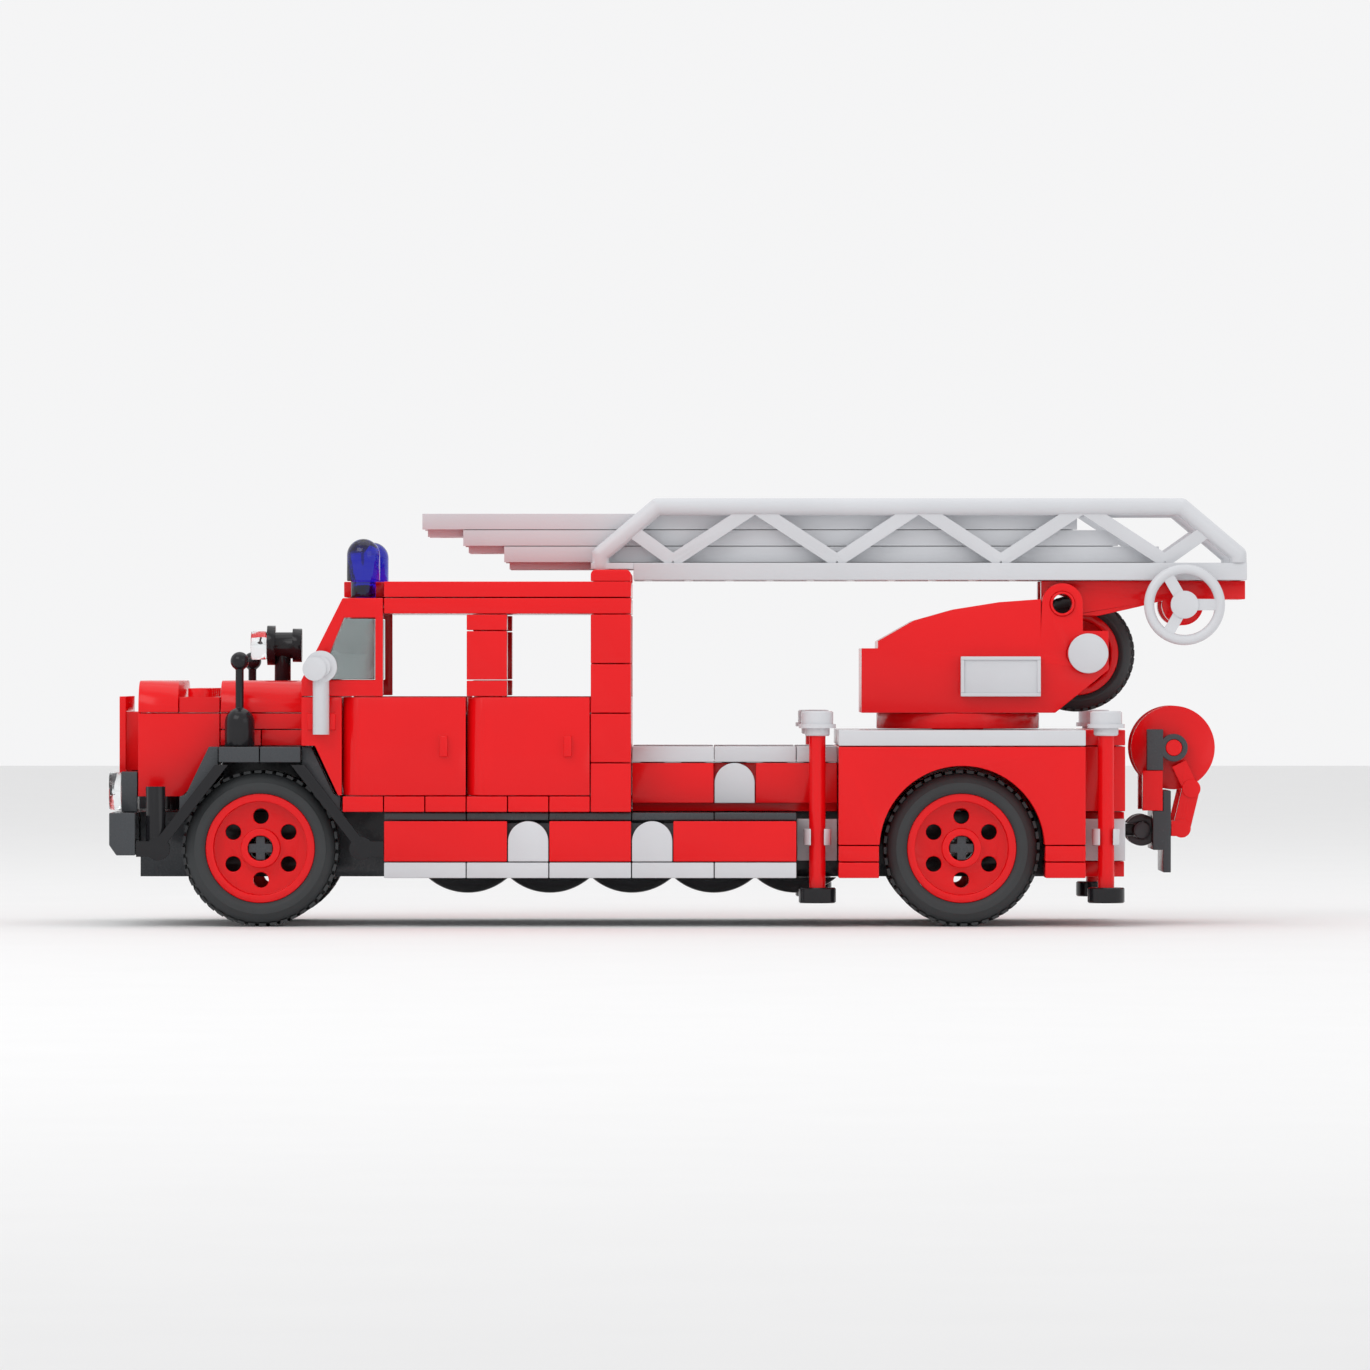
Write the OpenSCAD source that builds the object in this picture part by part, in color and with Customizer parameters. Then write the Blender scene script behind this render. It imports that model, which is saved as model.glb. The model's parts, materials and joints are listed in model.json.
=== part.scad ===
// Brick-built fire engine with a turntable ladder, in millimetres.
// +X points to the rear, +Y to the right-hand side, +Z up; the ground is z = 0.

/* [Grid] */
// Width of one stud of the building grid
stud = 8; // [7.8:0.1:8.4]
// Height of one plate of the building grid
plate = 3.2; // [3.0:0.05:3.4]
// How far each piece stands in from its cell on the grid
inset = 0.1; // [0.05:0.01:0.15]
// Diameter of a stud on top of a piece
knob_d = 4.8; // [4.4:0.1:5.2]
// Height of a stud on top of a piece
knob_h = 1.7; // [1.4:0.1:2.0]
// Diameter of the bars that clips grip
bar_d = 3.2; // [2.8:0.1:3.6]

/* [Body] */
// Length of the cab behind the windscreen, in studs
cab_studs = 6; // [6:1:7]
// Length of the hose bed between cab and rear box, in studs
bed_studs = 5; // [5:1:7]
// Length of the rear box, in studs
box_studs = 6; // [6:1:8]
// Width of the body, in studs
body_studs = 8; // [8:1:10]
// Height of the chassis underside above the ground
chassis_z = 9.4; // [9.0:0.1:11.0]
// Thickness of side panels, doors and cab walls
wall = 3; // [2.4:0.1:3.8]

/* [Wheels] */
// Outer radius of the tyres
tyre_r = 15.2; // [14.4:0.1:15.4]
// Width of the tyres
tyre_w = 13; // [11:0.5:14]
// Outer radius of the rims
rim_r = 10.6; // [9.5:0.1:11.5]
// Radius of the wheel arches
arch_r = 16; // [15.8:0.1:16.4]
// Radius of the cross axles
axle_r = 2.4; // [2.2:0.1:2.6]

/* [Cab] */
// Height of the door panels, in plates
door_plates = 6; // [5:1:6]
// Height of the open windows, in plates
window_plates = 5; // [4:1:6]
// Swing radius of the doors' rounded hinge edge
hinge_r = 3.6; // [3.2:0.1:3.8]

/* [Ladder] */
// Length of each ladder section
ladder_len = 128; // [112:1:132]
// Height of the side trusses above the base rails
truss_h = 12.6; // [11:0.1:14]
// Half width of the base section
ladder_half_w = 16; // [15:0.5:18]
// Half width of the sliding sections
slide_half_w = 12; // [11:0.5:12.5]
// Height step from one sliding section to the next
slide_step = 3.2; // [3.1:0.1:3.6]
// Distance between rungs
rung_pitch = 8; // [6:0.5:10]
// Radius of the winding drum behind the turret
drum_r = 11.5; // [10:0.1:11.5]
// Outer radius of the handwheel
handwheel_r = 7.9; // [6.5:0.1:8.1]

/* [Legs] */
// Diameter of the feet and caps of the stabiliser legs
foot_d = 7.2; // [6:0.1:7.4]
// Length of the red bar of a stabiliser leg
leg_len = 29.4; // [28:0.1:31]

/* [Reel] */
// Radius of the hose reel's side discs
reel_r = 8.2; // [7:0.1:8.6]
// Width of the hose reel between its discs
reel_w = 12; // [10:0.5:14]

/* [Fits] */
// Running gap of sliding and turning faces
run_gap = 0.3; // [0.2:0.05:0.4]
// Radial play of a pin in its bore
pin_gap = 0.05; // [0.03:0.01:0.08]

/* [Hidden] */

red = [0.86, 0.05, 0.06];
light_grey = [0.78, 0.79, 0.81];
dark_grey = [0.2, 0.21, 0.22];
black = [0.07, 0.07, 0.08];
blue = [0.03, 0.05, 0.6];
clear = [0.85, 0.9, 0.92, 0.4];

$fn = 48;
eps = 0.01;

// Stations along the grid, in studs from the front edge of the front door's window
bed_g = cab_studs;
box_g = bed_g + bed_studs;
tail_g = box_g + box_studs;
end_g = tail_g + 1;
front_axle_g = -3;
rear_axle_g = box_g + box_studs / 2;
nose_g = -6;
half_g = body_studs / 2;
half_w = half_g * stud;

// Heights on the grid, in plates from the chassis underside
floor_k = 4;
sill_k = floor_k + 1;
window_k = sill_k + door_plates;
roof_k = window_k + window_plates;
bed_k = 8;
deck_k = 9;
bonnet_k = 10;

// The foremost and rearmost faces set the origin midway between them
lens_l = 2.5;
ladder_front_x = (bed_g - 1) * stud;
front_x = nose_g * stud - 3.2 - lens_l;
rear_x = ladder_front_x + ladder_len;
mid_x = (front_x + rear_x) / 2;

function gx(g) = g * stud - mid_x;
function kz(k) = chassis_z + k * plate;

// A piece that fills cells g0..g1 along, y0..y1 across (in studs) and k0..k1 up (in plates)
module brick(g0, g1, y0, y1, k0, k1) {
    translate([gx(g0) + inset, y0 * stud + inset, kz(k0) + inset])
        cube([(g1 - g0) * stud - 2 * inset, (y1 - y0) * stud - 2 * inset, (k1 - k0) * plate - 2 * inset]);
}

// The same piece on both sides of the body
module both_sides() {
    children();
    mirror([0, 1, 0]) children();
}

// A stud standing on the piece whose top is at plate k
module knob(g, y, k) {
    translate([gx(g), y * stud, kz(k) - inset - eps]) cylinder(d = knob_d, h = knob_h + eps);
}

// A prism with its outline in the X-Z plane, from y0 to y1
module side_prism(y0, y1, points) {
    translate([0, y1, 0]) rotate([90, 0, 0]) linear_extrude(y1 - y0) polygon(points);
}

// A cylinder across the body, centred on x, z
module cross_rod(x, z, r, y0, y1) {
    translate([x, y0, z]) rotate([-90, 0, 0]) cylinder(r = r, h = y1 - y0);
}

// ---- Chassis and hose bed ----
beam_half_g = 2;
axle_play_r = axle_r + pin_gap;
bed_rail_g = bed_g + bed_studs - 1;

module axle_bore(g) {
    cross_rod(gx(g), tyre_r, axle_play_r, -half_w, half_w);
}

// The central beam carries both cross axles in plain bores
module chassis() {
    color(dark_grey) difference() {
        union() {
            brick(nose_g, tail_g, -beam_half_g, beam_half_g, 0, floor_k);
            brick(0, bed_rail_g, -half_g + 1, half_g - 1, 0.5, floor_k - 1);
            brick(bed_g, box_g, -half_g + 2, half_g - 2, floor_k - 1, bed_k - 1);
        }
        axle_bore(front_axle_g);
        axle_bore(rear_axle_g);
    }
}

dome_h = plate - 2 * inset;
dome_r = stud - inset;
dome_sphere_r = (dome_r * dome_r + dome_h * dome_h) / (2 * dome_h);

// Shallow round-bottomed plates in a row under the chassis
module underside_domes() {
    color(black) for (i = [0:floor((box_g - 2) / 2)])
        translate([gx(2 + 2 * i), 0, kz(0) - inset]) for (y = [-1, 1]) translate([0, y * (half_w - 2 * stud), 0])
            intersection() {
                translate([0, 0, -dome_h]) cylinder(r = dome_r, h = dome_h);
                translate([0, 0, dome_sphere_r - dome_h]) sphere(r = dome_sphere_r);
            }
}

arch_tile_t = 2.2;

// A panel that faces sideways, one stud high, on the lower or the upper row
module side_panel(g0, g1, y_out, z0) {
    translate([gx(g0) + inset, y_out - arch_tile_t, z0 + inset])
        cube([(g1 - g0) * stud - 2 * inset, arch_tile_t - inset, stud - 2 * inset]);
}

panel_z = kz(1);
upper_panel_z = kz(bed_k - 1) - stud;
upper_wall = half_w - stud;
lower_arch_1_g = cab_studs / 2;

module side_panels() {
    color(red) both_sides() {
        side_panel(0, lower_arch_1_g, half_w, panel_z);
        side_panel(lower_arch_1_g + 1, bed_g, half_w, panel_z);
        side_panel(bed_g + 1, bed_rail_g, half_w, panel_z);
        side_panel(bed_g, bed_g + 2, upper_wall, upper_panel_z);
        side_panel(bed_g + 3, box_g, upper_wall, upper_panel_z);
        brick(bed_g, box_g, half_g - 2, half_g - 1 - 0.3, floor_k, bed_k - 1);
    }
}

// A tile one stud square with a half-round top, facing sideways
module arch_tile(g, y_out, z0) {
    r = stud / 2 - inset;
    translate([gx(g) + stud / 2, y_out - inset, z0 + inset]) rotate([90, 0, 0])
        linear_extrude(arch_tile_t - inset) {
            translate([0, stud / 2 - inset]) circle(r = r);
            translate([-r, 0]) square([2 * r, stud / 2 - inset]);
        }
}

module arch_top_tiles() {
    color(light_grey) both_sides() {
        arch_tile(lower_arch_1_g, half_w, panel_z);
        arch_tile(bed_g, half_w, panel_z);
        arch_tile(bed_g + 2, upper_wall, upper_panel_z);
    }
}

// Tiles along the lower edge, the top of the hose bed and the top of the rear box
module edge_tiles() {
    color(light_grey) {
        both_sides() {
            for (g = [0:2:bed_rail_g - 2]) brick(g, g + 2, half_g - 1, half_g, 0, 1);
            for (g = [bed_g:2:bed_rail_g - 2]) brick(g, g + 2, half_g - 2, half_g - 1, bed_k - 1, bed_k);
            brick(bed_rail_g, box_g, half_g - 2, half_g - 1, bed_k - 1, bed_k);
        }
        difference() {
            brick(box_g, tail_g, -half_g, half_g, bed_k, deck_k);
            translate([pivot_x, 0, 0]) cylinder(r = kingpin_r + pin_gap, h = kz(deck_k) + 1);
        }
    }
}

// The grey ledge between the cab sill and the lower panels, with its backing
module ledge_plates() {
    color(dark_grey) both_sides() {
        brick(0, bed_rail_g, half_g - 1, half_g - 0.3, 1, 3.4);
        for (g = [0:2:bed_rail_g - 2]) brick(g, g + 2, half_g - 1, half_g - 0.15, 3.5, floor_k);
    }
}

leg_y = half_w - stud / 2;
clip_wall = 1.1;
bar_r = bar_d / 2;

// A spring clip round an upright bar, open on the outer side
module upright_clip(h) {
    difference() {
        union() {
            cylinder(r = bar_r + clip_wall, h = h);
            translate([-bar_r, -stud / 2 + inset, 0]) cube([2 * bar_r, stud / 2 - inset, h]);
        }
        translate([0, 0, -1]) cylinder(r = bar_r + pin_gap, h = h + 2);
        translate([-bar_r * 0.8, 0, -1]) cube([bar_r * 1.6, stud, h + 2]);
    }
}

// One bracket: a wall plate with the clip that a stabiliser leg slides in
module leg_bracket(g) {
    clip_z = kz(2);
    brick(g, g + 1, half_g - 1.6, half_g - 1, 1, floor_k - 0.4);
    translate([gx(g) + stud / 2, leg_y, clip_z]) upright_clip(plate);
}

module leg_brackets() {
    color(light_grey) both_sides() {
        leg_bracket(bed_rail_g);
        leg_bracket(tail_g);
    }
}

// ---- Rear box ----
module rear_box() {
    color(red) difference() {
        union() {
            brick(box_g, tail_g, -half_g, -half_g + 2, 2, bed_k);
            brick(box_g, tail_g, half_g - 2, half_g, 2, bed_k);
            brick(box_g, tail_g, -half_g + 2, half_g - 2, floor_k, bed_k);
            both_sides() for (k = [0, 1]) {
                brick(box_g, box_g + 1, half_g - 2, half_g, k, k + 1);
                brick(tail_g - 1, tail_g, half_g - 2, half_g, k, k + 1);
            }
        }
        for (side = [-1, 1]) cross_rod(gx(rear_axle_g), tyre_r, arch_r,
            side > 0 ? beam_half_g * stud : -half_w - 1, side > 0 ? half_w + 1 : -beam_half_g * stud);
    }
}

// The recessed rear corners behind the stabiliser legs
module rear_corners() {
    color(red) {
        both_sides() {
            brick(tail_g, end_g, 0.5, half_g - 1.6, 0, 1);
            brick(tail_g, end_g, 0.5, half_g - 1.6, 1, floor_k);
            brick(tail_g, end_g, half_g - 2.4, half_g - 1, floor_k, deck_k - 1);
        }
        brick(tail_g, end_g, -half_g + 2.4, half_g - 2.4, floor_k, deck_k - 1);
        brick(tail_g, end_g, -half_g + 1, half_g - 1, deck_k - 1, deck_k);
    }
}

reel_bar_x = gx(end_g) + 3.9;
reel_bar_z = kz(2.8);
tow_half = stud;

// A plate with a cross bar at the back, which the hose reel's clips grip
module tow_bar() {
    color(dark_grey) {
        brick(tail_g, end_g, -0.5, 0.5, 0, 2);
        translate([gx(tail_g) + inset, -stud / 2 + inset, kz(2)])
            cube([stud - 2 * inset, stud - 2 * inset, 2 * plate - inset]);
        translate([gx(end_g) - 1, -1.4, reel_bar_z - 1.2]) cube([3.9, 2.8, 2.4]);
        cross_rod(reel_bar_x, reel_bar_z, bar_r, -tow_half, tow_half);
    }
}

// ---- Cab ----
cab_front_g = -1;

module cab_floor() {
    color(red) {
        brick(cab_front_g, cab_studs - 1, -half_g + 1, half_g - 1, floor_k, sill_k);
        both_sides() for (g = [cab_front_g:cab_studs - 2]) brick(g, g + 1, half_g - 1, half_g, floor_k, sill_k);
        brick(cab_studs - 1, cab_studs, -half_g + 1, half_g - 1, floor_k, sill_k);
    }
}

pillar_step = (roof_k - floor_k) / 4;
pillar_g = 2;

// Rear corner pillars, the rear wall with its window, and the pillars between the side windows
module cab_walls() {
    color(red) {
        both_sides() {
            for (i = [0:3]) brick(cab_studs - 1, cab_studs, half_g - 1, half_g,
                floor_k + i * pillar_step, floor_k + (i + 1) * pillar_step);
            brick(pillar_g, pillar_g + 1, half_g - 1, half_g, window_k, window_k + 1);
            brick(pillar_g, pillar_g + 1, half_g - 1, half_g, window_k + 1, roof_k - 1);
            brick(pillar_g, pillar_g + 1, half_g - 1, half_g, roof_k - 1, roof_k);
            brick(cab_studs - 1, cab_studs, half_g - 2, half_g - 1, window_k, roof_k);
        }
        brick(cab_studs - 1, cab_studs, -half_g + 1, half_g - 1, sill_k, window_k);
    }
}

module cab_roof() {
    color(red) {
        brick(0, cab_studs, -half_g, half_g, roof_k, roof_k + 1);
        brick(0, cab_studs, -half_g, half_g, roof_k + 1, roof_k + 2);
        brick(cab_front_g, 0, -half_g + 1, half_g - 1, roof_k + 1, roof_k + 2);
    }
}

post_h = 2.2;
post_round = 1;

// Low round-edged rests on the rear of the roof, either side of the ladder
module roof_posts() {
    l = stud - 2 * inset;
    color(red) both_sides() translate([gx(cab_studs - 1) + inset, half_w - stud + inset, kz(roof_k + 2)])
        translate([0, l, 0]) rotate([90, 0, 0]) linear_extrude(l) hull() {
            square([l, 1]);
            translate([post_round, post_h - post_round]) circle(r = post_round);
            translate([l - post_round, post_h - post_round]) circle(r = post_round);
        }
}

screen_foot_z = kz(window_k + 1);
screen_top_z = kz(roof_k + 1) - inset;
screen_wall = 2;
glass_t = 1.2;

screen_outline = [[gx(-2) + inset, kz(window_k) + inset], [gx(-2) + inset, screen_foot_z],
    [gx(-1) + inset, screen_top_z], [gx(0) - inset, screen_top_z], [gx(0) - inset, kz(window_k) + inset]];

// Slope of the windscreen: run along X for each millimetre of height
screen_run = stud / (screen_top_z - screen_foot_z);
function screen_x(z) = gx(-2) + inset + (z - screen_foot_z) * screen_run;

side_light_z0 = screen_foot_z;
side_light_z1 = screen_top_z - plate - 0.6;
side_light = [[screen_x(side_light_z0) + 3.4, side_light_z0], [screen_x(side_light_z1) + 2.2, side_light_z1],
    [gx(0) - 1.6, side_light_z1], [gx(0) - 1.6, side_light_z0]];
front_light = [[screen_x(screen_foot_z + 1.5) - 2, screen_foot_z + 1.5], [screen_x(screen_top_z - 1.5) - 2, screen_top_z - 1.5],
    [screen_x(screen_top_z - 1.5) + 3.2, screen_top_z - 1.5], [screen_x(screen_foot_z + 1.5) + 3.2, screen_foot_z + 1.5]];
screen_inner = [[gx(-2) + 3, kz(window_k) - 1], [gx(-2) + 3, screen_foot_z + 0.2],
    [screen_x(screen_top_z - 1.5) + 2.6, screen_top_z - 1.5], [gx(0) + 1, screen_top_z - 1.5], [gx(0) + 1, kz(window_k) - 1]];

// The sloping windscreen frame, hollow, open at the back and glazed in front and at both sides
module windscreen_frame() {
    color(red) difference() {
        side_prism(-half_w + inset, half_w - inset, screen_outline);
        side_prism(-half_w + screen_wall, half_w - screen_wall, screen_inner);
        side_prism(-half_w - 1, half_w + 1, side_light);
        side_prism(-half_w + 2 * screen_wall, half_w - 2 * screen_wall, front_light);
    }
}

pane_gap = 0.15;

module windscreen_glass() {
    z0 = screen_foot_z + 1.5 + pane_gap;
    z1 = screen_top_z - 1.5 - pane_gap;
    color(clear) {
        side_prism(-half_w + 2 * screen_wall + pane_gap, half_w - 2 * screen_wall - pane_gap,
            [[screen_x(z0) + 0.4, z0], [screen_x(z1) + 0.4, z1], [screen_x(z1) + 0.4 + glass_t, z1], [screen_x(z0) + 0.4 + glass_t, z0]]);
        both_sides() side_prism(half_w - inset - 1.4, half_w - inset - 0.4, [for (p = side_light)
            [p[0] + (p[0] < gx(-0.5) ? pane_gap : -pane_gap), p[1] + (p[1] < kz(roof_k - 2) ? pane_gap : -pane_gap)]]);
    }
}

seat_w_g = 2.4;

module seats() {
    color(black) for (g = [0, 3]) both_sides() {
        brick(g, g + 1.6, 0.2, 0.2 + seat_w_g, sill_k, sill_k + 2);
        brick(g + 1.6, g + 2, 0.2, 0.2 + seat_w_g, sill_k, sill_k + 5);
    }
}

beacon_r = 3.2;
beacon_y = half_w - stud / 2;
beacon_x_g = -0.5;

// A blue rotating-light dome on its stem and round base plate, at each front corner of the roof
module beacons() {
    z0 = kz(roof_k + 1);
    color(blue) both_sides() translate([gx(beacon_x_g), beacon_y, z0]) {
        cylinder(d = knob_d, h = plate + 0.4);
        translate([0, 0, plate]) cylinder(r = beacon_r, h = 5);
        translate([0, 0, plate + 5]) sphere(r = beacon_r);
    }
}

// ---- Bonnet and nose ----
bonnet_half_g = 3;
bonnet_half_w = bonnet_half_g * stud;
bonnet_foot_z = kz(sill_k) - 0.2;
fender_k = 7;
edge_round = 2 * plate - 2 * inset;

// A slab across the bonnet from g0 to g1, two plates high, with both upper side edges rounded
module round_shouldered(g0, g1) {
    r = edge_round;
    w = bonnet_half_w - inset;
    translate([gx(g0) + inset, 0, kz(bonnet_k) + inset]) rotate([90, 0, 90])
        linear_extrude((g1 - g0) * stud - 2 * inset) intersection() {
            union() {
                translate([-w + r, 0]) square([2 * (w - r), r]);
                translate([-w + r, 0]) circle(r = r);
                translate([w - r, 0]) circle(r = r);
            }
            translate([-w, 0]) square([2 * w, r]);
        }
}

module bonnet_sides() {
    z1 = kz(bonnet_k) - inset;
    color(red) {
        side_prism(-bonnet_half_w + inset, bonnet_half_w - inset,
            [[gx(nose_g) + inset, bonnet_foot_z], [gx(nose_g) + inset, z1], [gx(-4) - inset, z1],
            [gx(-4) - inset, kz(fender_k) + 0.3], [gx(-4.93), bonnet_foot_z]]);
        brick(-4, -3, -bonnet_half_g, bonnet_half_g, fender_k + 1, bonnet_k - 1);
        brick(-3, -2, -bonnet_half_g, bonnet_half_g, fender_k + 1, bonnet_k - 1);
        brick(-4, -2, -bonnet_half_g, bonnet_half_g, bonnet_k - 1, bonnet_k);
        brick(-5, -4, -bonnet_half_g, bonnet_half_g, bonnet_k, bonnet_k + 1);
        for (y = [-bonnet_half_g + 0.5:bonnet_half_g - 0.5]) knob(-4.5, y, bonnet_k + 1);
    }
}

module bonnet_top() {
    color(red) {
        round_shouldered(-4, -2);
        round_shouldered(nose_g, -5);
    }
}

// The scuttle between bonnet and doors, cut back over the wheel, with the mirror clips
module cowl() {
    color(red) {
        side_prism(-half_w + inset, half_w - inset,
            [[gx(-2) + inset, kz(fender_k + 1) + inset], [gx(-2) + inset, kz(window_k) - inset],
            [gx(-1) - inset, kz(window_k) - inset], [gx(-1) - inset, kz(sill_k) + inset],
            [gx(-1.1), kz(sill_k) + inset], [gx(-1.66), kz(fender_k + 1) + inset]]);
        both_sides() translate([gx(mirror_g), half_w - inset, kz(mirror_k)]) difference() {
            translate([-bar_r - clip_wall, -0.5, 0]) cube([bar_d + 2 * clip_wall, mirror_out + inset, plate]);
            translate([0, mirror_out, -1]) cylinder(r = bar_r + pin_gap, h = plate + 2);
        }
    }
}

mirror_g = -1.5;
mirror_k = 9;
mirror_out = bar_r + 0.4;
mirror_y = half_w - inset + mirror_out;
mirror_head_z = kz(window_k) + 5.8;

// Mirror heads on upright stems
module mirrors() {
    color(light_grey) both_sides() translate([gx(mirror_g), mirror_y, 0]) {
        translate([0, 0, kz(mirror_k) - 0.9]) cylinder(r = bar_r, h = mirror_head_z - kz(mirror_k) + 0.9);
        cross_rod(0, mirror_head_z, 3.1, -1.5, 1.5);
        cross_rod(-1.2, mirror_head_z - 0.4, 2.3, -1.5, 2.6);
        cross_rod(0, mirror_head_z, 1.9, -1.6, 2.2);
    }
}

grille_half_w = 2 * stud - inset;
grille_x = gx(nose_g) - stud / 2;

// Radiator grille: a slotted plate held in front of the nose by its backing
module grille() {
    z0 = kz(6) + 0.6;
    z1 = kz(bonnet_k + 1);
    color(red) {
        difference() {
            translate([grille_x, -grille_half_w, z0]) cube([1.2, 2 * grille_half_w, z1 - z0]);
            for (i = [-6:6]) translate([grille_x - 1, i * 2.2 - 0.5, z0 + 1.5]) cube([1.7, 1, z1 - z0 - 3]);
        }
        translate([grille_x + 1.1, -grille_half_w + 2, z0 + 1]) cube([stud / 2 - 1.1 - inset, 2 * grille_half_w - 4, z1 - z0 - 4]);
    }
}

liner_y0 = bonnet_half_w + 0.2;
tyre_in = beam_half_g * stud + 0.6;
tyre_out = tyre_in + tyre_w;
arm_y0 = tyre_out + run_gap;
arm_y1 = half_w - inset;
fender_foot_z = kz(fender_k) - inset;

// Mirrors a shape in X about the front axle
module fore_and_aft() {
    children();
    translate([2 * gx(front_axle_g), 0, 0]) mirror([1, 0, 0]) children();
}

// Front wings: flat plates over the wheels and sloping liners before and behind them
module fenders() {
    color(dark_grey) {
        both_sides() {
            brick(-4, -3, beam_half_g, half_g, fender_k, fender_k + 1);
            brick(-3, -2, beam_half_g, half_g, fender_k, fender_k + 1);
            fore_and_aft() side_prism(liner_y0, tyre_out,
                [[gx(-2) + inset, fender_foot_z - 1.4], [gx(-2) + inset, kz(fender_k + 1) - inset], [gx(-1.76), kz(fender_k + 1) - inset],
                [gx(-1.2), kz(sill_k) + 0.2], [gx(-1.05), kz(sill_k) - 0.1], [gx(-1.05), kz(floor_k) - 0.5]]);
        }
        brick(-4, -2, -beam_half_g, beam_half_g, floor_k, fender_k + 1);
    }
}

arm_ring_g = 2.46;
arm_ring_r = 2.3;
arm_w = 1.7;

// Rod-like stays that brace each wing, with a ring at the foot
module fender_arms() {
    foot_x = gx(front_axle_g) + arm_ring_g * stud;
    head_x = gx(-2) - 0.2;
    color(black) both_sides() {
        fore_and_aft() {
            cross_rod(foot_x, tyre_r, arm_ring_r, arm_y0, arm_y1);
            side_prism(arm_y0, arm_y1, [[foot_x - arm_w, tyre_r + 1], [foot_x + arm_w / 2, tyre_r + 1],
                [head_x + arm_w / 2, fender_foot_z - 0.3], [head_x - arm_w, fender_foot_z - 0.3]]);
        }
        translate([foot_x, arm_y0, tyre_r - 1.6]) cube([gx(0) - foot_x, arm_y1 - arm_y0, 3]);
        translate([gx(nose_g) + inset, arm_y0, tyre_r - 1.6]) cube([5, arm_y1 - arm_y0, 3]);
        translate([gx(nose_g) + 3.8, half_w - 2.2, tyre_r]) cylinder(r = 1.9, h = 12);
    }
}

bumper_t = 5;
lamp_y = 2.5 * stud;
lamp_z = kz(floor_k) + stud / 2;
lamp_r = 3.7;

// Front bumper with the square headlamp housings standing on it
module bumper() {
    x1 = gx(nose_g) - inset;
    z0 = kz(1.4);
    z1 = kz(floor_k) - inset;
    color(dark_grey) {
        side_prism(-half_w + inset, half_w - inset,
            [[x1 - bumper_t, z1], [x1, z1], [x1, z0], [x1 - bumper_t + 1.4, z0], [x1 - bumper_t, z0 + 2]]);
        both_sides() translate([gx(nose_g) - 3.2, lamp_y - stud / 2 + inset, kz(floor_k)])
            cube([3.2 - inset, stud - 2 * inset, stud - 2 * inset]);
    }
}

light_y = 0;
light_g = -2.6;
light_z = kz(bonnet_k + 2) + 6.8;

module lamp_lenses() {
    color(clear) {
        both_sides() translate([gx(nose_g) - 3.2 - lens_l, lamp_y, lamp_z]) rotate([0, 90, 0])
            cylinder(r = lamp_r, h = lens_l - 0.05);
        translate([gx(light_g) - 6.2, light_y, light_z]) rotate([0, 90, 0]) cylinder(r = 2.8, h = 3.1);
    }
}

module marker_levers() {
    color(black) both_sides() translate([gx(-3.5), half_w - stud / 2, kz(fender_k + 1)]) {
        cylinder(r = 2.9, h = 4.6);
        translate([0, 0, 4.6]) sphere(r = 2.9);
        translate([0, 0, 7]) cylinder(r = 0.8, h = 9.5);
        translate([0, 0, 16.5]) sphere(r = 1.8);
    }
}

// Searchlight on a stem at the back of the bonnet
module searchlight() {
    z0 = kz(bonnet_k + 2) - inset;
    color(black) {
        translate([gx(light_g), light_y, z0]) cylinder(r = bar_r, h = light_z - z0);
        translate([gx(light_g) - 3, light_y, light_z]) rotate([0, 90, 0]) cylinder(r = 3.9, h = 1.6);
        translate([gx(light_g) - 1.5, light_y, light_z]) rotate([0, 90, 0]) cylinder(r = 2.6, h = 3.6);
        translate([gx(light_g) + 2, light_y, light_z]) rotate([0, 90, 0]) cylinder(r = 3.3, h = 1.8);
    }
}

// ---- Doors ----
door_h = door_plates * plate;
handle_back = 4;

// A door 3 studs long: a rounded hinge edge at the front, a flat panel and a raised grip
module door(g0, side) {
    l = 3 * stud - 2 * inset;
    h = door_h - 2 * inset;
    color(red) translate([gx(g0) + inset, 0, kz(sill_k) + inset]) mirror([0, side < 0 ? 1 : 0, 0]) {
        translate([hinge_r, half_w - inset - hinge_r, 0]) cylinder(r = hinge_r, h = h);
        translate([hinge_r, half_w - inset - wall, 0]) cube([l - hinge_r, wall, h]);
        translate([l - handle_back - 1, half_w - inset - 1, h / 2 - 2]) cube([1.5, 2.2, 4]);
    }
}

module door_front_left() { door(cab_front_g, -1); }
module door_front_right() { door(cab_front_g, 1); }
module door_rear_left() { door(pillar_g, -1); }
module door_rear_right() { door(pillar_g, 1); }

// ---- Stabiliser legs ----
leg_foot_z = 4.6;
leg_foot_h = 3;
leg_cap_h = 4.8;

// A foot, a long bar and a flanged cap, one above the other
module leg(g, side) {
    bar_z = leg_foot_z + leg_foot_h;
    color(red) translate([gx(g) + stud / 2, side * leg_y, 0]) {
        translate([0, 0, leg_foot_z]) cylinder(d = foot_d, h = leg_foot_h);
        translate([0, 0, bar_z - eps]) cylinder(r = bar_r, h = leg_len + 2 * eps);
        translate([0, 0, bar_z + leg_len]) {
            cylinder(d = knob_d, h = leg_cap_h);
            translate([0, 0, 1.5]) cylinder(d = foot_d, h = 0.8);
            translate([0, 0, 2.3 - eps]) cylinder(d = foot_d - 1, h = leg_cap_h - 2.3 + eps);
        }
    }
}

module leg_front_left() { leg(bed_rail_g, -1); }
module leg_front_right() { leg(bed_rail_g, 1); }
module leg_rear_left() { leg(tail_g, -1); }
module leg_rear_right() { leg(tail_g, 1); }

// ---- Wheels ----
bead_gap = 0.05;

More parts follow.
